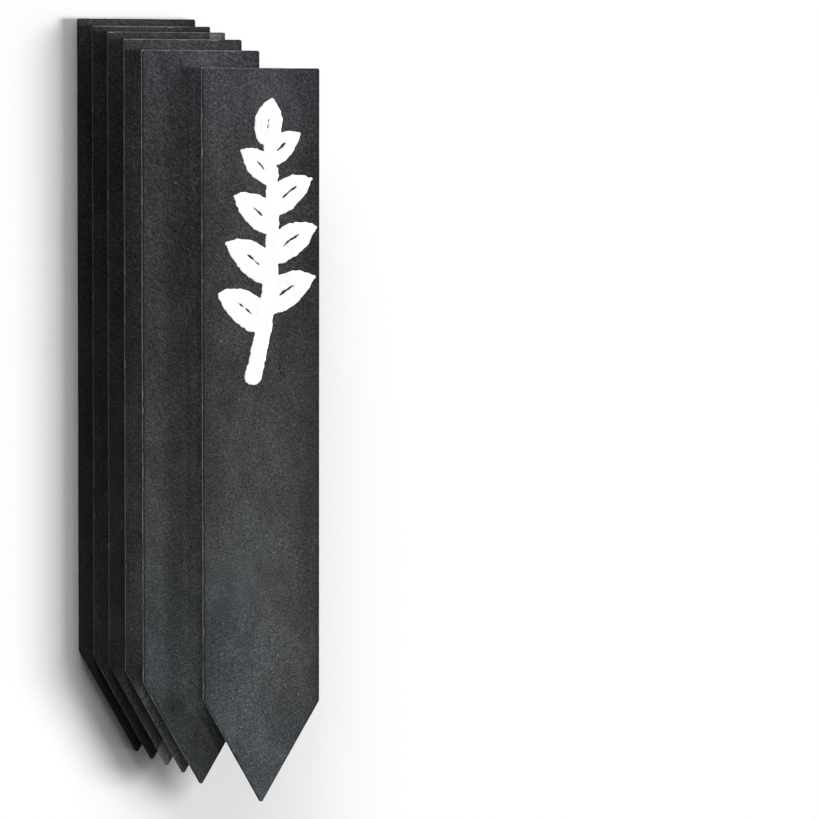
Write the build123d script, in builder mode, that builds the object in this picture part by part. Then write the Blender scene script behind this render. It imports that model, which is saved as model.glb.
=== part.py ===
import os
from itertools import accumulate
from math import atan, sin

from build123d import *

# A set of six slate plant label stakes, lying fanned out one on another on a bench.
# X runs across the stakes, Y along them towards the heads, and Z up from the bench.
# Lengths are in millimetres. The origin is on the bench, under the middle of the fan.

# The blade that all six are sawn to
stake_width = 40.0  # half way down the straight sides
stake_length = 250.0  # from the head to the rounded tip
stake_thickness = 4.0
side_taper = 0.7  # the head is this much wider than the shoulders
head_fall = 0.35  # the head's cut drops this much from its left corner to its right
point_length = 35.3  # from the shoulders to where the point's two sides would meet
tip_drift = 0.25  # the point stands this far to the right of the middle
corner_radius = 0.7  # at the two corners of the head
shoulder_radius = 1.2  # where the straight sides turn into the point
tip_radius = 0.8
arris = 0.3  # width of the rubbed-down edge round both faces

# The fan, from the bottom stake up, each place counted from the stake below
names = ("bottom_stake", "second_stake", "third_stake", "fourth_stake", "fifth_stake", "top_stake")
right_shares = (0.0, 0.128, 0.129, 0.141, 0.151, 0.511)  # of stake_width
down_shares = (0.0, 0.063, 0.051, 0.062, 0.094, 0.152)  # of stake_width, towards the points
split_shares = (1.0, 0.96, 1.03, 0.97, 1.02, 0.98)  # of stake_thickness, as slate splits unevenly

head_half = (stake_width + side_taper / 2) / 2
shoulder_half = (stake_width - side_taper / 2) / 2
head_y = stake_length / 2
tip_y = -stake_length / 2

# Rounding takes this much off the sharp point, so the sides aim that far past the tip
point_half_angle = atan(shoulder_half / point_length)
tip_overrun = tip_radius / sin(point_half_angle) - tip_radius
apex_y = tip_y - tip_overrun
shoulder_y = apex_y + point_length

# Where each stake lies
thicknesses = [share * stake_thickness for share in split_shares]
rights = list(accumulate(share * stake_width for share in right_shares))
downs = list(accumulate(share * stake_width for share in down_shares))
tops = list(accumulate(thicknesses))

os.makedirs("parts", exist_ok=True)

for name, right, down, top, thickness in zip(names, rights, downs, tops, thicknesses):
    middle = (right - rights[-1] / 2, downs[-1] / 2 - down, top - thickness)
    with BuildPart() as stake:
        with BuildSketch(Plane(origin=middle)) as outline:
            with BuildLine():
                Polyline(
                    (-head_half, head_y),
                    (head_half, head_y - head_fall),
                    (shoulder_half, shoulder_y),
                    (tip_drift, apex_y),
                    (-shoulder_half, shoulder_y),
                    close=True,
                )
            make_face()
            corners = outline.vertices().sort_by(Axis.Y)
            tip, shoulders, heads = corners[:1], corners[1:3], corners[3:]
            fillet(tip, tip_radius)
            fillet(shoulders, shoulder_radius)
            fillet(heads, corner_radius)
        extrude(amount=thickness)
        faces = stake.faces().filter_by(Axis.Z)
        chamfer(faces.edges(), length=arris)
    stake.part.label = name
    export_step(stake.part, f"parts/{name}.step")
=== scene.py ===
"""Looks of a fanned set of slate plant label stakes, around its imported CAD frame. Lengths are in metres."""

import math
from collections import namedtuple

import bpy
import numpy as np
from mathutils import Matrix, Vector


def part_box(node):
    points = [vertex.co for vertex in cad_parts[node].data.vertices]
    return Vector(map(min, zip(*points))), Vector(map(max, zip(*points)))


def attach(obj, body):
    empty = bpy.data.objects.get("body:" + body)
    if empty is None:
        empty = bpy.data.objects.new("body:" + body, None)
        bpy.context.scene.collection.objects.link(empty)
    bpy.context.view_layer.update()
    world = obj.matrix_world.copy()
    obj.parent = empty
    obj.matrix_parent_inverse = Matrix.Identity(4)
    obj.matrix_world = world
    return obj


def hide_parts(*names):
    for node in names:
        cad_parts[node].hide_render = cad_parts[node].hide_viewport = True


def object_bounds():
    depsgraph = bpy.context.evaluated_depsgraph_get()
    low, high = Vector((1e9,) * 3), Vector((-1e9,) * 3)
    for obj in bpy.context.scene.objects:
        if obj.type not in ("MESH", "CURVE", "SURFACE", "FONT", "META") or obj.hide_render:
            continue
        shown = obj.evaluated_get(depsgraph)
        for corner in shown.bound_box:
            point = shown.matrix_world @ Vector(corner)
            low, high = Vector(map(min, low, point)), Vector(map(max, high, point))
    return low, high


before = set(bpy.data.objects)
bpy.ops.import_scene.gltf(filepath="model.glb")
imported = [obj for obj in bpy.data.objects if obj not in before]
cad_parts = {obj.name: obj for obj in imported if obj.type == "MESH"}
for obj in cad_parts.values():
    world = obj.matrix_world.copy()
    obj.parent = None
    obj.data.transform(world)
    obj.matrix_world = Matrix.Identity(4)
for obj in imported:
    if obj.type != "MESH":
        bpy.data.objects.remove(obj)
cad_low, cad_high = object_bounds()

mm = 0.001

# The stakes, from the bottom of the fan to its top. Each lies in more shade than the one above it, and that
# shade
# is painted into its slate, with painted light lifting some shadows the stakes cast on each other. So each
# has a look of its own:
# tone is how pale it is, as a share of the slate's common tone: painted shade, darker the lower the stake
# lies, point_tone is a share of that along the point's left slanted edge, in a band point_reach wide: painted
# light above 1, painted shade below, side_tones are shares of it at distances right of the middle, from
# sides_from to sides_to along the stake: painted shade and light in bands beside the stake above, and on the
# top stake a darker right side, overhang_tone is a share of it where the stake stands out past the one below:
# painted light, beside_tone is a share of it close to the left slanted edge of the stake above: painted light
# that lifts that stake's shadow, cast and point_cast are how much of the slate's hue shows all over and at
# the point, left_wear and head_wear are how pale those arrises are, a painted highlight, and wear_end is
# where that ends by the point.
Look = namedtuple(
    "Look",
    "tone point_tone point_reach side_tones cast left_wear head_wear "
    "sides_from sides_to wear_end overhang_tone beside_tone point_cast",
    defaults=(-100 * mm, 121 * mm, -118 * mm, 1.0, 1.0, 0.3),
)
looks = {
    "bottom_stake": Look(
        tone=0.78,
        point_tone=0.7,
        point_reach=2.8 * mm,
        side_tones=((-16 * mm, 0.72), (-12 * mm, 1.0)),
        cast=0.25,
        left_wear=0.0,
        head_wear=0.0,
    ),
    "second_stake": Look(
        tone=0.78,
        point_tone=1.48,
        point_reach=2.8 * mm,
        side_tones=((-17 * mm, 0.8), (-15 * mm, 0.95)),
        cast=0.25,
        left_wear=0.16,
        head_wear=0.9,
    ),
    "third_stake": Look(
        tone=0.86,
        point_tone=2.6,
        point_reach=2.8 * mm,
        side_tones=((-18.5 * mm, 0.76), (-15 * mm, 0.96)),
        cast=0.3,
        left_wear=0.18,
        head_wear=0.9,
        overhang_tone=3.0,
    ),
    "fourth_stake": Look(
        tone=0.99,
        point_tone=4.0,
        point_reach=2.8 * mm,
        side_tones=((-18.5 * mm, 1.2), (-14.5 * mm, 1.9), (-11 * mm, 1.0)),
        cast=0.5,
        left_wear=0.45,
        head_wear=1.0,
        sides_from=-92 * mm,
    ),
    "fifth_stake": Look(
        tone=1.04,
        point_tone=0.6,
        point_reach=40 * mm,
        side_tones=(
            (-18.5 * mm, 0.93),
            (-14.5 * mm, 0.86),
            (-9 * mm, 0.54),
            (-7 * mm, 0.56),
            (-1.8 * mm, 1.75),
            (2 * mm, 1.75),
            (8 * mm, 1.0),
        ),
        cast=0.9,
        left_wear=1.0,
        head_wear=0.9,
        sides_from=-104 * mm,
        sides_to=126 * mm,
        beside_tone=4.6,
    ),
    "top_stake": Look(
        tone=1.0,
        point_tone=1.0,
        point_reach=40 * mm,
        side_tones=((-18 * mm, 0.98), (-10 * mm, 1.0), (8 * mm, 1.0), (19 * mm, 0.86)),
        cast=1.0,
        left_wear=1.0,
        head_wear=0.4,
        wear_end=-105 * mm,
        point_cast=1.0,
    ),
}
stakes = list(looks)

# The blade's outline. The frame gives its length, width and thickness.
side_taper = 0.7 * mm
head_fall = 0.35 * mm
head_fall_reach = 30 * mm
point_length = 35.3 * mm
point_drift = 0.25 * mm  # the point and the shoulders stand this far to the right
corner_radius = 0.7 * mm
tip_radius = 0.8 * mm
shoulder_blend = 0.2 * mm
arris = 0.3 * mm

# The blade's mesh
face_pitch = 0.7 * mm
edge_steps = (0.0, 0.3 * mm, 0.75 * mm, 1.3 * mm)
round_steps = 6
tip_turn = math.radians(40)
wall_steps = 9
round_keep_share = 0.8  # chips take at most this much of a rounding's radius
chip_pull_reach = 5 * mm  # chips in the head's arris pull back the rows this near to it
tip_pull_reach = 3 * mm  # and the tip's rounding does so here

# The slate's relief, all of it cut inwards from the frame's faces
face_drop = 0.07 * mm
swell_depth = 0.05 * mm
flake_depth = 0.05 * mm
grain_depth = 0.016 * mm
wall_depth = 0.15 * mm
chip_gap = 8 * mm
chip_depth = 0.4 * mm
grain_angle = math.radians(-48)
arris_height_share = 0.85  # of its width
arris_inset_share = 0.4  # of its width, where the arris is rounded
arris_drop_share = 0.42

# Arrises: above 0 for a pale stretch of the outline, a painted highlight broken into patches, below 0 for a
# dark one, painted shade
head_highlight_share = 0.3
arris_shade_level = -0.8
highlight_fade = 4 * mm
wall_edge_highlight = 0.3
wall_highlight = 0.08
face_highlight_share = 0.1
arris_sawn = 0.3
inner_shade = {"left": -1.0, "head": -0.2, "right": -0.4}  # on the row of points beside each arris

# The slate's tone, before each stake's own share of it
common_tone = 0.044
point_gain = 0.021
head_gain = 0.01
crown_left = 1.5 * mm  # the crown, where the face is palest, lies this far left of the middle
crown_half = 21.5 * mm
crown_fall = 0.3
# Painted shade, between the painted light beside the stake above and the stake's left edge
off_painted_shade = 0.75  # between beside_tone's reach and the stake's left edge

# Where each change along a stake starts and where it is whole, counted from the middle towards the head
point_gain_span = (50 * mm, -95 * mm)
head_gain_span = (70 * mm, 122 * mm)
point_tone_span = (-91 * mm, -101 * mm)
tip_overhang_span = (-105 * mm, -113 * mm)
head_overhang_span = (118.5 * mm, 121.5 * mm)
beside_span = (-94 * mm, -104 * mm)
off_span = (-94 * mm, -99 * mm)
fibre_span = (-45 * mm, 35 * mm)
contrast_span = (-60 * mm, 70 * mm)
fleck_span = (30 * mm, -50 * mm)
teal_span = (0.0, -90 * mm)
point_tint_span = (-88 * mm, -108 * mm)
head_tint_span = (98 * mm, 118 * mm)
sides_fade_in = 8 * mm
sides_fade_out = 14 * mm
point_reach_fade = 4 * mm

# The slate's patterns, by the size of their features
cloud_size = (11 * mm, 20 * mm, 13 * mm)
streak_size = (2.6 * mm, 11 * mm, 5 * mm)
hue_size = (9 * mm, 13 * mm, 12 * mm)
fibre_size = (1.05 * mm, 0.33 * mm, 0.8 * mm)
speckle_size = (0.37 * mm, 0.37 * mm, 0.37 * mm)
fleck_size = (0.7 * mm, 0.7 * mm, 0.7 * mm)
scratch_size = (3.4 * mm, 0.36 * mm, 1 * mm)
dot_gap = (8 * mm, 8 * mm, 8 * mm)
layer_size = (11 * mm, 11 * mm, 0.34 * mm)
nibble_size = (0.7 * mm, 0.7 * mm, 0.4 * mm)
grain_contrast = (4.0, 5.45)  # at the point and at the head

# The slate's hues, each multiplied with its tone, and its other colours
green_tint = (0.955, 1.035, 0.98, 1)
blue_tint = (0.97, 0.995, 1.04, 1)
teal_tint = (0.905, 1.015, 1.07, 1)
point_tint = (0.93, 1.06, 1.13, 1)
head_tint = (0.93, 0.985, 1.1, 1)
neutral_tint = (0.99, 1.005, 1.005, 1)
dot_colour = (0.2, 0.205, 0.21, 1)
dark_layer = (0.022, 0.023, 0.024, 1)
pale_layer = (0.1, 0.104, 0.106, 1)
# The arrises' painted highlight and painted shade
edge_highlight_colour = (0.62, 0.625, 0.625, 1)
edge_shade_colour = (0.008, 0.0082, 0.0085, 1)

# The painted sprig on the top stake
paint_film = 0.05 * mm
paint_least = 0.012 * mm
paint_bead = 0.45 * mm
paint_pitch = 0.3 * mm
paint_root = 0.03 * mm
sprig_from_head = 12.5 * mm
sprig_length = 93 * mm
sprig_right = 2.6 * mm
sprig_lean = 5 * mm
stem_steps = 25
stem_widths = (2.9 * mm, 1.7 * mm)  # half widths, at its foot and at its end
last_leaf_room = 13 * mm
last_leaf_length = 14.5 * mm
last_leaf_width = 9.4 * mm
last_leaf_turn = math.radians(84)
last_leaf_curl = 0.08
leaf_curl = 0.16
leaf_steps = 13
brush_least = 0.65 * mm
slit_half = 0.32 * mm
# Each leaf's place among the stem's points, its length and width in millimetres, its angle with the stem
# in degrees, and -1 for the left side or 1 for the right one
leaves = (
    (5, 18.8, 11.6, 38, -1),
    (7, 19.0, 11.4, 34, 1),
    (10, 18.8, 11.2, 40, -1),
    (12, 18.4, 10.8, 37, 1),
    (15, 17.2, 10.3, 42, -1),
    (17, 16.8, 10.0, 40, 1),
    (20, 14.5, 9.0, 46, -1),
    (22, 13.5, 8.6, 44, 1),
)
paint_streak_size = (0.5 * mm, 4 * mm, 1 * mm)
paint_mottle_size = (5 * mm, 7 * mm, 5 * mm)
low_white = (0.935, 0.935, 0.93, 1)
high_white = (0.965, 0.965, 0.96, 1)
thin_white = (0.8, 0.81, 0.81, 1)

# The photograph's frame, and where its middle is counted from the middle of the fan
photo_width = 279.1 * mm
photo_right = 72.05 * mm
photo_up = 0.06 * mm
camera_lens = 1600.0
sensor_width = 36.0

# Studio light: where each lamp stands, how wide it looks, and how much light it puts on the floor
lamps = {
    "key_lamp": {"azimuth": -2.0, "elevation": 31.6, "spread": 16.0, "on_floor": 0.6},
    "low_lamp": {"azimuth": -18.0, "elevation": 23.3, "spread": 19.0, "on_floor": 0.08},
    "far_lamp": {"azimuth": 95.0, "elevation": 16.6, "spread": 37.0, "on_floor": 0.215},
    "fill_lamp": {"azimuth": 61.0, "elevation": 29.0, "spread": 28.0, "on_floor": 0.075},
}
room_light = 0.075
floor_half = 12.0
floor_albedo = 0.97


def clouds(x, y, cell, seed):
    """A smooth random field from -1 to 1 over the points x, y, with features about a cell wide."""
    size = 64
    lattice = np.random.default_rng(seed).uniform(-1, 1, (size, size))
    across, up = x / cell, y / cell
    column, row = np.floor(across).astype(int), np.floor(up).astype(int)
    across, up = across - column, up - row
    across, up = across * across * (3 - 2 * across), up * up * (3 - 2 * up)
    left, right = column % size, (column + 1) % size
    near, far = row % size, (row + 1) % size
    low = lattice[left, near] * (1 - across) + lattice[right, near] * across
    high = lattice[left, far] * (1 - across) + lattice[right, far] * across
    return low * (1 - up) + high * up


def rise(value, low, high):
    """0 below low, 1 above high, and a smooth rise between them."""
    share = np.clip((value - low) / (high - low), 0, 1)
    return share * share * (3 - 2 * share)


def soft_least(a, b, blend):
    """The lesser of a and b, rounded where they cross."""
    share = np.clip(0.5 + 0.5 * (b - a) / blend, 0, 1)
    return b * (1 - share) + a * share - blend * share * (1 - share)


def add_mesh(name, points, faces):
    """A smooth mesh object of its own."""
    mesh = bpy.data.meshes.new(name)
    mesh.from_pydata(points, [], faces)
    mesh.polygons.foreach_set("use_smooth", [True] * len(mesh.polygons))
    added = bpy.data.objects.new(name, mesh)
    bpy.context.scene.collection.objects.link(added)
    return added


class Blade:
    """One stake's slab of slate, in coordinates counted from the middle of its CAD box."""

    def __init__(self, node, place):
        self.look = looks[node]
        low, high = (Vector(corner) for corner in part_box(node))
        self.middle = (low + high) / 2
        self.seed = 100 * (place + 1)
        self.head_half, self.head_y, self.half_thickness = (high - low) / 2
        self.tip_y = -self.head_y
        self.shoulder_half = self.head_half - side_taper / 2
        self.slant = math.atan(self.shoulder_half / point_length)
        self.apex_y = self.tip_y - tip_radius / math.sin(self.slant) + tip_radius
        self.place_columns()
        self.place_rows()
        self.walk_outline()

    def place_columns(self):
        """Columns across the blade, as shares of its width, closer together at its edges."""
        width = 2 * self.head_half
        inner = width - 2 * edge_steps[-1]
        count = round(inner / face_pitch)
        middle = [edge_steps[-1] + inner * step / count for step in range(1, count)]
        right = [width - step for step in reversed(edge_steps)]
        self.columns = np.array([*edge_steps, *middle, *right]) / width

    def place_rows(self):
        """Rows along the straight stretch, as shares of it, closer together towards the head."""
        self.start_y = self.tip_y + tip_radius - (tip_radius - arris) * math.sin(self.slant)
        self.end_y = self.head_y - corner_radius
        length = self.end_y - self.start_y
        count = round(length / face_pitch)
        even = np.linspace(0, 1, count)
        near_head = 1 - np.array(edge_steps[1:]) / length
        self.rows = np.unique(np.append(even, near_head))
        self.row_count = len(self.rows) + 2 * round_steps

    def walk_outline(self):
        """The grid's border, clockwise from the tip's left end, with each point's stretch and distance."""
        rows, columns = self.row_count, len(self.columns)
        left = [(row, 0) for row in range(rows)]
        head = [(rows - 1, column) for column in range(1, columns - 1)]
        right = [(row, columns - 1) for row in reversed(range(rows))]
        tip = [(0, column) for column in range(columns - 2, 0, -1)]
        self.border = np.array(left + head + right + tip)
        self.stretches = ["left"] * rows + ["head"] * len(head) + ["right"] * rows + ["tip"] * len(tip)
        x, y = self.ring(np.zeros(len(self.border)))
        steps = np.hypot(np.diff(x, append=x[0]), np.diff(y, append=y[0]))
        self.walked = np.concatenate(([0], np.cumsum(steps)[:-1]))

    def side(self, inset, hand):
        """One long side's points, row by row, cut back by inset. hand is -1 on the left, 1 on the right."""
        drift = hand * point_drift
        shoulder = self.shoulder_half + drift

        # The rounded tip
        turn = np.linspace(tip_turn, math.pi / 2 - self.slant, round_steps, endpoint=False)
        radius = tip_radius - np.minimum(inset[:round_steps], round_keep_share * tip_radius)
        tip_x = drift + radius * np.sin(turn)
        tip_y = self.tip_y + tip_radius - radius * np.cos(turn)

        # The straight stretches, joined at the shoulder
        cut = inset[round_steps:-round_steps]
        middle_y = self.start_y + (self.end_y - self.start_y) * self.rows
        along = (middle_y - self.apex_y) / point_length
        point = drift + (shoulder - drift) * along - cut / math.cos(self.slant)
        shoulder_y = self.apex_y + point_length
        up = np.clip((middle_y - shoulder_y) / (self.head_y - shoulder_y), 0, 1)
        straight = shoulder + (self.head_half - shoulder) * up - cut
        middle_x = soft_least(point, straight, shoulder_blend)

        # The rounded corner of the head
        turn = np.linspace(0, math.pi / 2, round_steps + 1)[1:]
        radius = corner_radius - np.minimum(inset[-round_steps:], round_keep_share * corner_radius)
        head_x = self.head_half - corner_radius + radius * np.cos(turn)
        head_y = self.head_y - corner_radius + radius * np.sin(turn)
        return hand * np.concatenate((tip_x, middle_x, head_x)), np.concatenate((tip_y, middle_y, head_y))

    def grid(self, inset):
        """Every grid point of the blade, when its border is cut back by inset."""
        rows, columns = self.row_count, len(self.columns)
        left, right = inset[:rows], inset[rows + columns - 2 : 2 * rows + columns - 2][::-1]
        head = np.concatenate(([left[-1]], inset[rows : rows + columns - 2], [right[-1]]))
        left_x, left_y = self.side(left, -1)
        right_x, right_y = self.side(right, 1)
        x = left_x[:, None] + (right_x - left_x)[:, None] * self.columns
        y = left_y[:, None] + (right_y - left_y)[:, None] * self.columns

        # Chips in the head's arris
        ends = left[-1] + (right[-1] - left[-1]) * self.columns
        y = y - (head - ends) * rise(y, self.head_y - chip_pull_reach, self.head_y - corner_radius)

        # The tip is round below its first row
        radius = tip_radius - min(left[0], round_keep_share * tip_radius)
        bulge = np.sqrt(np.maximum(radius**2 - (x[0] - point_drift) ** 2, 0)) - radius * math.cos(tip_turn)
        y = y - bulge * (1 - rise(y, self.tip_y, self.tip_y + tip_pull_reach))

        fall = head_fall * (0.5 + x / (2 * self.head_half))
        return x, y - fall * rise(y, self.head_y - head_fall_reach, self.head_y)

    def ring(self, inset):
        """The border's points when it is cut back by inset."""
        x, y = self.grid(inset)
        rows, columns = self.border.T
        return x[rows, columns], y[rows, columns]

    def relief(self, x, y, side=0):
        """How deep the split face lies under the frame's: swells, lifted flakes and slanting grain."""
        seed = self.seed + 10 * side
        swell = clouds(x, y, 21 * mm, seed) + 0.5 * clouds(x, y, 8 * mm, seed + 1)
        layer = clouds(x, y, 24 * mm, seed + 2) + 0.4 * clouds(x, y, 7 * mm, seed + 3)
        layer = layer + 0.12 * clouds(x, y, 2.5 * mm, seed + 4)
        flake = rise(layer, 0.42, 0.5) + rise(layer, 0.75, 0.82)
        along = x * math.cos(grain_angle) + y * math.sin(grain_angle)
        across = y * math.cos(grain_angle) - x * math.sin(grain_angle)
        grain = clouds(along / 3, across, 1.5 * mm, seed + 5) + 0.6 * clouds(x, y, 1.4 * mm, seed + 6)
        depth = face_drop + swell_depth * (1 + swell) + flake_depth * flake + grain_depth * grain
        return np.maximum(depth, face_drop)

    def chips(self, seed):
        """Small scallops knocked out of an arris, as a depth at each border point."""
        random = np.random.default_rng(seed)
        total = self.walked[-1]
        depth = np.zeros(len(self.walked))
        for _ in range(round(total / chip_gap)):
            centre, half_width = random.uniform(0, total), random.uniform(0.5, 2.2) * mm
            deep = chip_depth * random.uniform(0.15, 1) ** 2
            bowl = 1 - ((self.walked - centre) / half_width) ** 2
            depth = np.maximum(depth, deep * np.sqrt(np.maximum(bowl, 0)))
        return depth

    def arris_cut(self, seed):
        """How far the dressed arris is cut back along the border, with its chips."""
        flutter = clouds(self.walked, 0 * self.walked, 3 * mm, seed) * 0.15
        fine = clouds(self.walked, 0 * self.walked, 0.9 * mm, seed + 1) * 0.12
        return arris * (1.05 + flutter + fine) + self.chips(seed + 2)

    def wall_inset(self, depth):
        """The sawn wall's lamination at one depth: thin layers stand in and out along the border."""
        seed = self.seed + 30
        layer = np.full(len(self.walked), depth)
        fine = clouds(self.walked / 14, layer, 0.45 * mm, seed)
        broad = clouds(self.walked / 5, layer, 1.6 * mm, seed + 1)
        pocks = np.maximum(clouds(self.walked / 2, layer, 0.6 * mm, seed + 2) - 0.35, 0)
        return wall_depth * np.clip(0.2 + 0.4 * fine + 0.3 * broad + 0.8 * pocks, 0, 1.6)

    def arris_light_along(self):
        """How pale or dark the arris is painted at each border point: painted highlight above 0, painted
        shade below.
        """
        levels = {"left": self.look.left_wear, "head": self.look.head_wear * head_highlight_share}
        # Stretches with a highlight of 0, or none listed, take painted shade
        shares = np.array([levels.get(stretch) or arris_shade_level for stretch in self.stretches])
        x, y = self.ring(np.zeros(len(self.border)))
        kept = rise(y, self.look.wear_end - highlight_fade, self.look.wear_end)
        kept = kept * rise(self.head_half - x, highlight_fade, 2 * highlight_fade)
        shares = np.where(shares > 0, shares * kept + arris_shade_level * (1 - kept), shares)
        patches = clouds(self.walked, 0 * self.walked, 6 * mm, self.seed + 40)
        fine = clouds(self.walked, 0 * self.walked, 1.3 * mm, self.seed + 41)
        return shares * np.clip(0.75 + 0.25 * patches + 0.2 * fine, 0, 1)

    def wall_rings(self, cuts, edges, wear):
        """Rings of points from the top face down to the bottom one, each with its share of the arrises'
        painted highlight and shade, and its sawn share.
        """
        (top_cut, bottom_cut), (top_edge, bottom_edge) = cuts, edges
        top_wall = top_edge - arris_height_share * top_cut
        bottom_wall = bottom_edge + arris_height_share * bottom_cut
        top_ring = top_edge - arris_drop_share * top_cut
        bottom_ring = bottom_edge + arris_drop_share * bottom_cut
        levels = [(arris_inset_share * top_cut, top_ring, 1.0, arris_sawn)]
        for step in range(wall_steps):
            share = step / (wall_steps - 1)
            inset = self.wall_inset(self.half_thickness * (1 - 2 * share))
            painted_edge_share = wall_edge_highlight if step in (0, wall_steps - 1) else wall_highlight
            levels.append((inset, top_wall + (bottom_wall - top_wall) * share, painted_edge_share, 1.0))
        levels.append((arris_inset_share * bottom_cut, bottom_ring, 1.0, arris_sawn))

        rings = []
        for inset, z, painted_edge_share, sawn in levels:
            x, y = self.ring(inset)
            share = np.maximum(wear, 0) * painted_edge_share + np.minimum(wear, 0) * (1 - sawn)
            rings.append((np.column_stack((x, y, z)), share, np.full(len(x), sawn)))
        return rings

    def face_light_and_shade(self, wear):
        """The painted highlight and shade on a split face: along its border, and painted shade on the points
        beside that.
        """
        rows, columns = self.border.T
        face = np.zeros((self.row_count, len(self.columns)))
        face[-2] = inner_shade["head"]
        face[:, -2] = inner_shade["right"]
        face[:, 1] = inner_shade["left"] * self.look.left_wear
        face[rows, columns] = np.where(wear > 0, face_highlight_share * wear, wear)
        return face.ravel()

    def join(self, ring_count):
        """The faces of the mesh: the top face, the bottom face, and those between one ring and the next."""
        rows, columns = self.border.T
        around, size = len(self.border), self.row_count * len(self.columns)
        first_bottom = size + around * ring_count
        place = np.arange(size).reshape(self.row_count, -1)
        squares = (place[:-1, :-1], place[:-1, 1:], place[1:, 1:], place[1:, :-1])
        quads = [np.stack(squares, -1).reshape(-1, 4)]
        quads.append(first_bottom + quads[0][:, ::-1])
        loops = [place[rows, columns]]
        loops += [size + around * ring + np.arange(around) for ring in range(ring_count)]
        loops.append(first_bottom + loops[0])
        for upper, lower in zip(loops, loops[1:]):
            quads.append(np.column_stack((upper, np.roll(upper, -1), np.roll(lower, -1), lower)))
        return np.concatenate(quads).tolist()

    def build(self, name):
        """The slab as one closed mesh, with point attributes for its arrises' painted highlight and shade and
        for its sawn sides.
        """
        cuts = self.arris_cut(self.seed + 50), self.arris_cut(self.seed + 60)
        top_x, top_y = self.grid(cuts[0])
        bottom_x, bottom_y = self.grid(cuts[1])
        top_z = self.half_thickness - self.relief(top_x, top_y)
        bottom_z = -self.half_thickness + self.relief(bottom_x, bottom_y, side=1) - face_drop
        rows, columns = self.border.T
        wear = self.arris_light_along()
        rings = self.wall_rings(cuts, (top_z[rows, columns], bottom_z[rows, columns]), wear)

        top = np.column_stack((top_x.ravel(), top_y.ravel(), top_z.ravel()))
        bottom = np.column_stack((bottom_x.ravel(), bottom_y.ravel(), bottom_z.ravel()))
        points = np.concatenate([top, *(ring for ring, _, _ in rings), bottom])
        face_light_and_shade, face_sawn = self.face_light_and_shade(wear), np.zeros(len(top))
        painted_edge_share = np.concatenate([face_light_and_shade, *(share for _, share, _ in rings), face_light_and_shade])
        sawn = np.concatenate([face_sawn, *(share for _, _, share in rings), face_sawn])

        slab = add_mesh(name, points.tolist(), self.join(len(rings)))
        slab.location = self.middle
        for label, values in (("painted_edge_share", painted_edge_share), ("sawn", sawn)):
            attribute = slab.data.attributes.new(label, "FLOAT", "POINT")
            attribute.data.foreach_set("value", values.astype(np.float32))
        return slab


def stroke(x, y, points, radii):
    """Distance from the edge of a brush stroke through points, radii wide. It is less than 0 inside."""
    nearest = np.full(x.shape, 1.0)
    for (ax, ay), (bx, by), start, end in zip(points, points[1:], radii, radii[1:]):
        run_x, run_y = bx - ax, by - ay
        share = ((x - ax) * run_x + (y - ay) * run_y) / (run_x**2 + run_y**2)
        share = np.clip(share, 0, 1)
        away = np.hypot(x - ax - share * run_x, y - ay - share * run_y)
        nearest = np.minimum(nearest, away - (start + (end - start) * share))
    return nearest


def bend(start, middle, end, count):
    """Points along a quadratic curve."""
    shares = np.linspace(0, 1, count)
    return [
        tuple((1 - t) ** 2 * a + 2 * t * (1 - t) * b + t**2 * c for a, b, c in zip(start, middle, end))
        for t in shares
    ]


def leaf(x, y, base, angle, length, width, curl):
    """A leaf dabbed with a brush from base, with a slit along its middle where the bristles parted."""
    ahead, aside = (math.cos(angle), math.sin(angle)), (-math.sin(angle), math.cos(angle))
    middle = tuple(b + 0.5 * length * f + curl * length * s for b, f, s in zip(base, ahead, aside))
    end = tuple(b + length * f for b, f in zip(base, ahead))
    points = bend(base, middle, end, leaf_steps)
    shares = np.linspace(0, 1, leaf_steps)
    body = 0.5 * width * np.sin(math.pi * shares**0.8) ** 0.75
    field = stroke(x, y, points, np.maximum(body, brush_least))
    slit_points = points[4:9]
    slit = stroke(x, y, slit_points, slit_half * np.sin(np.linspace(0.5, 3.0, len(slit_points))))
    return np.maximum(field, -slit)


def sprig_field(x, y, blade):
    """The painted sprig, less than 0 where there is paint, in the top stake's own coordinates."""
    top = blade.head_y - sprig_from_head
    bottom = top - sprig_length
    stem_top = top - last_leaf_room
    foot, end = (sprig_right - sprig_lean, bottom), (sprig_right, stem_top)
    stem = bend(foot, (sprig_right + sprig_lean, (bottom + stem_top) / 2), end, stem_steps)
    field = stroke(x, y, stem, np.linspace(*stem_widths, stem_steps))
    last = leaf(x, y, end, last_leaf_turn, last_leaf_length, last_leaf_width, last_leaf_curl)
    field = np.minimum(field, last)
    for joint, length, width, angle, hand in leaves:
        turn = math.radians(90 - hand * (90 - angle))
        dab = leaf(x, y, stem[joint], turn, length * mm, width * mm, hand * leaf_curl)
        field = np.minimum(field, dab)
    rough = 0.24 * clouds(x, y, 1.1 * mm, 301) + 0.2 * clouds(x, y, 2.7 * mm, 302)
    return field + (rough + 0.09 * clouds(x, y, 0.5 * mm, 303)) * mm


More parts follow.
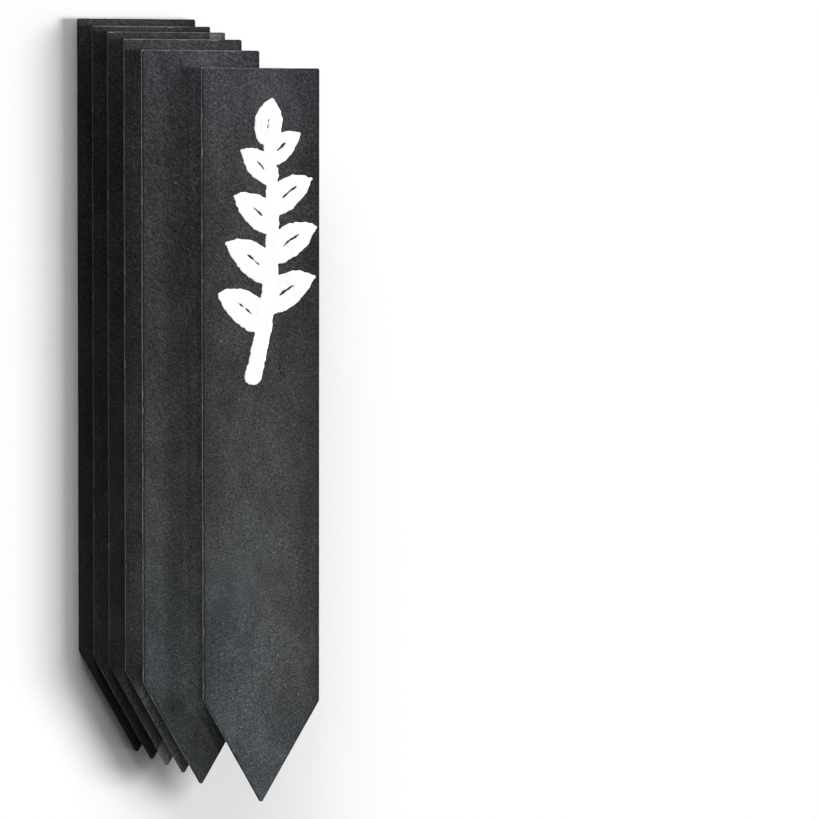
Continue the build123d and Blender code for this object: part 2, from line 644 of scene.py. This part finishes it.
def filled_outline(across, up, field):
    """Points and faces of the region of a grid where field is less than 0, cut along its zero line."""
    points, faces, known = [], [], {}

    def corner(i, j):
        key = (i, j)
        if key not in known:
            known[key] = len(points)
            points.append((across[i], up[j]))
        return known[key]

    def crossing(i, j, k, l):
        key = (min((i, j), (k, l)), max((i, j), (k, l)))
        if key not in known:
            (i, j), (k, l) = key
            share = field[i, j] / (field[i, j] - field[k, l])
            share = min(max(share, 0.08), 0.92)
            known[key] = len(points)
            points.append(
                (across[i] + (across[k] - across[i]) * share, up[j] + (up[l] - up[j]) * share)
            )
        return known[key]

    inside = field < 0
    near = inside[:-1, :-1] | inside[1:, :-1] | inside[:-1, 1:] | inside[1:, 1:]
    for i, j in zip(*np.nonzero(near)):
        square = ((i, j), (i + 1, j), (i + 1, j + 1), (i, j + 1))
        face = []
        for here, there in zip(square, square[1:] + square[:1]):
            if inside[here]:
                face.append(corner(*here))
            if inside[here] != inside[there]:
                face.append(crossing(*here, *there))
        faces.append(face)
    return np.array(points), faces


def paint_sprig(blade):
    """The sprig as a closed film of paint that follows the top stake's face, with a bead at its edges."""
    across = np.arange(-blade.head_half, blade.head_half, paint_pitch)
    up = np.arange(0, blade.head_y, paint_pitch)
    grid_x, grid_y = np.meshgrid(across, up, indexing="ij")
    flat, faces = filled_outline(across, up, sprig_field(grid_x, grid_y, blade))
    x, y = flat.T
    slate = blade.half_thickness - blade.relief(x, y)
    inward = np.clip(-sprig_field(x, y, blade) / paint_bead, 0, 1)
    streak = 0.5 + 0.5 * clouds(x, y / 6, 0.9 * mm, 320)
    film = paint_least + (paint_film - paint_least) * np.sqrt(inward) * (1 - 0.35 * streak)
    count = len(flat)
    points = np.concatenate(
        (np.column_stack((x, y, slate + film)), np.column_stack((x, y, slate - paint_root)))
    )
    edges = {}
    for face in faces:
        for here, there in zip(face, face[1:] + face[:1]):
            if (there, here) in edges:
                del edges[there, here]
            else:
                edges[here, there] = True
    under = [[count + corner for corner in reversed(face)] for face in faces]
    rim = [[there, here, count + here, count + there] for here, there in edges]
    paint = add_mesh("marking_paint", points.tolist(), faces + under + rim)
    paint.location = blade.middle
    return paint


class Shader:
    """A material whose nodes are added and joined one by one."""

    def __init__(self, name):
        self.material = bpy.data.materials.new(name)
        self.material.use_nodes = True
        self.tree = self.material.node_tree
        self.surface = self.tree.nodes["Principled BSDF"]

    def add(self, kind, inputs, output=0, **settings):
        node = self.tree.nodes.new(kind)
        for name, value in settings.items():
            setattr(node, name, value)
        self.feed(node, inputs)
        return node.outputs[output]

    def feed(self, node, inputs):
        for name, value in inputs.items():
            if isinstance(value, bpy.types.NodeSocket):
                self.tree.links.new(value, node.inputs[name])
            else:
                node.inputs[name].default_value = value

    def maths(self, operation, a, b=0.0):
        return self.add("ShaderNodeMath", {0: a, 1: b}, operation=operation)

    def place(self, size, turn=0.0, shift=(0, 0, 0)):
        """Object coordinates in units of size, turned about Z."""
        spot = self.add("ShaderNodeTexCoord", {}, output="Object")
        inputs = {"Vector": spot, "Location": shift, "Rotation": (0, 0, turn), "Scale": size}
        return self.add("ShaderNodeMapping", inputs, vector_type="TEXTURE")

    def noise(self, size, detail=2.0, roughness=0.5, turn=0.0, shift=(0, 0, 0), distortion=0.0):
        inputs = {"Vector": self.place(size, turn, shift), "Scale": 1.0, "Detail": detail}
        inputs |= {"Roughness": roughness, "Distortion": distortion}
        return self.add("ShaderNodeTexNoise", inputs)

    def step(self, value, low, high, start=0.0, end=1.0):
        """value from low to high becomes start to end, smoothly."""
        inputs = {"Value": value, "From Min": low, "From Max": high, "To Min": start, "To Max": end}
        return self.add("ShaderNodeMapRange", inputs, interpolation_type="SMOOTHSTEP")

    def curve(self, value, points):
        """A smooth curve through points, each a value and what it becomes."""
        result = points[0][1]
        for (low, start), (high, end) in zip(points, points[1:]):
            result = self.maths("ADD", result, self.step(value, low, high, 0.0, end - start))
        return result

    def blend(self, share, a, b, how="MIX"):
        """Colour b over colour a by share."""
        return self.add("ShaderNodeMix", {0: share, 6: a, 7: b}, 2, data_type="RGBA", blend_type=how)

    def axis(self, name):
        """One of the object's own coordinates."""
        spot = self.add("ShaderNodeTexCoord", {}, output="Object")
        return self.add("ShaderNodeSeparateXYZ", {0: spot}, output=name)

    def total(self, *values):
        result = values[0]
        for value in values[1:]:
            result = self.maths("ADD", result, value)
        return result

    def product(self, *values):
        result = values[0]
        for value in values[1:]:
            result = self.maths("MULTIPLY", result, value)
        return result

    def toned(self, share, tone):
        """1, turned to tone where share is 1."""
        return self.total(1.0, self.product(share, tone - 1.0))

    def painted(self, name):
        """One of the mesh's own point attributes."""
        return self.add("ShaderNodeAttribute", {}, output="Fac", attribute_name=name)


def right_of_slant(make, blade, other, hand):
    """Distance to the right of other's slanted edge on one side, in blade's own coordinates."""
    offset = other.middle - blade.middle
    lean_x, lean_y = math.cos(other.slant), -hand * math.sin(other.slant)
    start = (offset.x + point_drift) * lean_x + (offset.y + other.apex_y) * lean_y
    return make.total(make.product(make.axis("X"), lean_x), make.product(make.axis("Y"), lean_y), -start)


def past_the_one_below(make, blade, below):
    """1 at the head and the tip where a stake stands out to the right past the one below, 0 elsewhere."""
    past_side = make.maths("SUBTRACT", make.axis("X"), below.middle.x - blade.middle.x + below.head_half)
    past_slant = right_of_slant(make, blade, below, 1)
    out = make.step(make.maths("MAXIMUM", past_side, past_slant), -0.5 * mm, 0.1 * mm)
    along = make.axis("Y")
    ends = make.total(make.step(along, *tip_overhang_span), make.step(along, *head_overhang_span))
    return make.product(out, ends)


def beside_the_one_above(make, blade, above):
    """Shares of the tone: painted light close to the left slanted edge of the stake above, lifting the shadow
    it casts, and painted shade further off.
    """
    near_shares = (
        (-6.5 * mm, 0.0),
        (-3 * mm, 0.4),
        (-1.8 * mm, 0.75),
        (-0.6 * mm, 1.0),
        (0.5 * mm, 1.0),
        (5 * mm, 0.0),
    )
    off_shares = ((-13.5 * mm, 0.0), (-10 * mm, 1.0), (-5.5 * mm, 1.0), (-3 * mm, 0.0))
    inside, along = right_of_slant(make, blade, above, -1), make.axis("Y")
    near = make.product(make.curve(inside, near_shares), make.step(along, *beside_span))
    off = make.product(make.curve(inside, off_shares), make.step(along, *off_span))
    return make.product(make.toned(near, blade.look.beside_tone), make.toned(off, off_painted_shade))


def slate_tone(make, blade, below, above, shift, cloud):
    """The split face's tone: paler along its middle, at its head and above all towards its point, with each
    stake's painted light and shade.
    """
    across, along, look = make.axis("X"), make.axis("Y"), blade.look
    off_middle = make.maths("DIVIDE", make.total(across, crown_left), crown_half)
    crown = make.maths("SUBTRACT", 1.0, make.product(off_middle, off_middle, crown_fall))
    towards_point = make.step(along, *point_gain_span, 0.0, point_gain)
    towards_head = make.step(along, *head_gain_span, 0.0, head_gain)
    streak = make.noise(streak_size, 2.0, 0.5, 0.15, shift)
    # look.tone is painted shade: each stake is darker the lower it lies in the fan
    tone = make.product(make.total(towards_point, towards_head, common_tone), crown, look.tone)
    mottle = make.product(make.step(cloud, 0.3, 0.7, 0.86, 1.14), make.step(streak, 0.3, 0.7, 0.94, 1.06))
    tone = make.product(tone, mottle)

    # Painted shade and light in bands along the stake, beside the stake above; on the top stake a darker
    # right side
    sides = make.maths("SUBTRACT", make.curve(across, look.side_tones), 1.0)
    sides_end = make.step(along, look.sides_to, look.sides_to - sides_fade_out)
    sides_start = make.step(along, look.sides_from, look.sides_from + sides_fade_in)
    tone = make.product(tone, make.total(1.0, make.product(sides, sides_end, sides_start)))

    # Painted light along the point's left slanted edge where point_tone is above 1, painted shade where it is
    # below 1
    inside = right_of_slant(make, blade, blade, -1)
    near_slant = make.step(inside, look.point_reach + point_reach_fade, look.point_reach)
    on_point = make.product(make.step(along, *point_tone_span), near_slant)
    tone = make.product(tone, make.toned(on_point, look.point_tone))
    # Painted light where the stake stands out past the one below, at its head and tip
    if look.overhang_tone != 1.0:
        tone = make.product(tone, make.toned(past_the_one_below(make, blade, below), look.overhang_tone))
    # Painted light close to the left slanted edge of the stake above, and painted shade further off
    if look.beside_tone != 1.0:
        tone = make.product(tone, beside_the_one_above(make, blade, above))
    return tone


def slate_grain(make, shift):
    """Fibres near the head that turn to speckle near the point, and how much all of it changes the tone."""
    along = make.axis("Y")
    fibre = make.noise(fibre_size, 2.0, 0.5, grain_angle, shift)
    speckle = make.noise(speckle_size, 1.0, 0.5, 0.0, shift)
    grain = make.blend(make.step(along, *fibre_span, 0.2, 0.6), speckle, fibre)
    strength = make.step(along, *contrast_span, *grain_contrast)
    contrast = make.maths("POWER", math.e, make.product(make.maths("SUBTRACT", grain, 0.5), strength))

    flecks = make.step(make.noise(fleck_size, 1.0, 0.5, 0.0, shift), 0.66, 0.8)
    flecks = make.product(flecks, make.step(along, *fleck_span, 0.8, 1.5))
    scratches = make.noise(scratch_size, 1.0, 0.4, grain_angle - 0.15, shift)
    scratches = make.step(scratches, 0.68, 0.82, 0.0, 0.34)
    return grain, speckle, make.total(contrast, flecks, scratches)


def slate_tint(make, look, shift):
    """Greenish and bluish clouds, teal on the left towards the point, and a cast at each end."""
    across, along = make.axis("X"), make.axis("Y")
    from_middle = make.maths("ABSOLUTE", make.total(along, -10 * mm))
    hue = make.noise(hue_size, 2.0, 0.5, 0.3, shift)
    hue = make.total(hue, make.step(from_middle, 25 * mm, 70 * mm, -0.08, 0.14))
    hue = make.total(hue, make.step(across, 0.0, -14 * mm, 0.0, 0.1))
    tint = make.blend(make.step(hue, 0.35, 0.65), green_tint, blue_tint)
    leftwards = make.step(make.total(across, make.product(hue, 16 * mm)), 20 * mm, 0.0, 0.15, 1.0)
    tint = make.blend(make.product(make.step(along, *teal_span), leftwards), tint, teal_tint)
    tint = make.blend(make.step(along, *point_tint_span, 0.0, look.point_cast), tint, point_tint)
    tint = make.blend(make.step(along, *head_tint_span), tint, head_tint)
    return make.blend(look.cast, neutral_tint, tint)


def slate_dots(make, body, shift):
    """Body with a small pale dot here and there."""
    inputs = {"Vector": make.place(dot_gap, 0.4, shift), "Scale": 1.0, "Randomness": 1.0}
    distance = make.add("ShaderNodeTexVoronoi", inputs, output="Distance")
    chosen = make.step(distance.node.outputs["Color"], 0.45, 0.8)
    return make.blend(make.product(make.step(distance, 0.05, 0.025), chosen), body, dot_colour)


def slate_edges(make, body, sawn, layers, shift):
    """Body with layered sawn sides, and with a painted highlight on some arrises and painted shade on others.
    """
    cut = make.blend(make.step(layers, 0.36, 0.64), dark_layer, pale_layer)
    body = make.blend(make.step(sawn, 0.4, 0.9), body, cut)
    painted_edge_share, nibble = make.painted("painted_edge_share"), make.noise(nibble_size, 2.0, 0.6, 0.0, shift)
    # Painted highlight on the pale arrises, broken up by the nibble pattern
    edge_highlight = make.product(make.maths("MAXIMUM", painted_edge_share, 0.0), make.step(nibble, 0.25, 0.6, 0.55, 1.0))
    body = make.blend(make.product(edge_highlight, 0.95), body, edge_highlight_colour)
    # Painted shade on the dark arrises
    edge_shade = make.maths("MAXIMUM", make.product(painted_edge_share, -1.0), 0.0)
    return make.blend(make.product(edge_shade, 0.9), body, edge_shade_colour)


def slate_material(name, shift, blade, below, above):
    """Split slate: fine grain, cloudy tone with painted light and shade, pale flecks, arrises with a painted
    highlight and shade, and layered sawn sides.
    """
    make = Shader(name)
    cloud = make.noise(cloud_size, 2.0, 0.45, 0.0, shift, 0.4)
    layers = make.noise(layer_size, 3.0, 0.6, 0.0, shift)
    sawn = make.painted("sawn")
    grain, speckle, contrast = slate_grain(make, shift)
    tone = make.product(slate_tone(make, blade, below, above, shift, cloud), contrast)
    body = make.blend(1.0, slate_tint(make, blade.look, shift), tone, "MULTIPLY")
    body = slate_edges(make, slate_dots(make, body, shift), sawn, layers, shift)

    height = make.total(make.product(grain, 0.8), make.product(speckle, 0.4))
    relief = make.add("ShaderNodeMix", {0: sawn, 2: height, 3: make.product(layers, 1.5)})
    bump = make.add("ShaderNodeBump", {"Strength": 0.45, "Distance": 0.09 * mm, "Height": relief})
    roughness = make.step(make.blend(0.5, grain, cloud), 0.3, 0.7, 0.95, 0.85)
    make.feed(make.surface, {"Base Color": body, "Roughness": roughness, "Normal": bump})
    make.feed(make.surface, {"Specular IOR Level": 0.05})
    return make.material


def paint_material():
    """Matt white brushed paint."""
    make = Shader("white_marking_paint")
    streak = make.noise(paint_streak_size, 3.0, 0.6)
    mottle = make.noise(paint_mottle_size, 2.0)
    white = make.blend(make.step(mottle, 0.3, 0.7), low_white, high_white)
    thin = make.maths("MULTIPLY", make.step(streak, 0.62, 0.8), 0.25)
    white = make.blend(thin, white, thin_white)
    bump = make.add("ShaderNodeBump", {"Strength": 0.25, "Distance": 0.04 * mm, "Height": streak})
    roughness = make.step(streak, 0.3, 0.7, 0.6, 0.75)
    make.feed(make.surface, {"Base Color": white, "Roughness": roughness, "Normal": bump})
    make.feed(make.surface, {"Specular IOR Level": 0.25})
    return make.material


def make_floor():
    """A white sheet under the stakes."""
    make = Shader("white_floor")
    colour = (floor_albedo, floor_albedo, floor_albedo, 1)
    make.feed(make.surface, {"Base Color": colour, "Roughness": 0.9, "Specular IOR Level": 0.0})
    corners = [(-1, -1), (1, -1), (1, 1), (-1, 1)]
    points = [(floor_half * x, floor_half * y, cad_low.z) for x, y in corners]
    floor = add_mesh("floor", points, [(0, 1, 2, 3)])
    floor.data.materials.append(make.material)


def make_lamp(name, azimuth, elevation, spread, on_floor):
    """A distant soft lamp. Its energy is set so that it lights a level white sheet to on_floor."""
    around, above = math.radians(azimuth), math.radians(elevation)
    level = math.cos(above)
    towards = Vector((level * math.cos(around), level * math.sin(around), math.sin(above)))
    lamp = bpy.data.lights.new(name, "SUN")
    lamp.angle = math.radians(spread)
    lamp.energy = on_floor * math.pi / math.sin(above)
    holder = bpy.data.objects.new(name, lamp)
    holder.rotation_euler = towards.to_track_quat("Z", "Y").to_euler()
    bpy.context.scene.collection.objects.link(holder)


def light_room():
    """Even light from all round, and white wherever the room itself is seen or mirrored."""
    world = bpy.data.worlds.new("studio")
    bpy.context.scene.world = world
    world.use_nodes = True
    nodes, links = world.node_tree.nodes, world.node_tree.links
    path = nodes.new("ShaderNodeLightPath")
    seen = nodes.new("ShaderNodeMath")
    seen.operation = "MAXIMUM"
    links.new(path.outputs["Is Camera Ray"], seen.inputs[0])
    links.new(path.outputs["Is Glossy Ray"], seen.inputs[1])
    shown = nodes.new("ShaderNodeMath")
    shown.operation = "MAXIMUM"
    links.new(seen.outputs[0], shown.inputs[0])
    links.new(path.outputs["Is Transmission Ray"], shown.inputs[1])
    strength = nodes.new("ShaderNodeMapRange")
    strength.inputs["To Min"].default_value = room_light
    strength.inputs["To Max"].default_value = 1.0
    links.new(shown.outputs[0], strength.inputs["Value"])
    background = nodes["Background"]
    background.inputs["Color"].default_value = (1, 1, 1, 1)
    links.new(strength.outputs[0], background.inputs["Strength"])


def make_camera():
    """Straight down from far off, so that the view is nearly parallel, in the photograph's frame."""
    lens = bpy.data.cameras.new("camera")
    lens.lens, lens.sensor_width = camera_lens, sensor_width
    camera = bpy.data.objects.new("camera", lens)
    middle = (cad_low + cad_high) / 2
    distance = photo_width * camera_lens / sensor_width
    camera.location = middle + Vector((photo_right, photo_up, distance))
    bpy.context.scene.collection.objects.link(camera)
    bpy.context.scene.camera = camera


def main():
    bpy.context.scene.view_settings.view_transform = "Standard"
    blades = [Blade(node, place) for place, node in enumerate(stakes)]
    for place, (node, blade) in enumerate(zip(stakes, blades)):
        slab = blade.build(f"{node}_slate")
        shift = (0.11 * place, 0.07 * place, 0.05 * place)
        below, above = blades[max(place - 1, 0)], blades[min(place + 1, len(blades) - 1)]
        slab.data.materials.append(slate_material(f"slate_{node}", shift, blade, below, above))
        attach(slab, node)
        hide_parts(node)
    sprig = paint_sprig(blades[-1])
    sprig.data.materials.append(paint_material())
    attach(sprig, stakes[-1])

    make_floor()
    for name, setting in lamps.items():
        make_lamp(name, **setting)
    light_room()
    make_camera()


main()
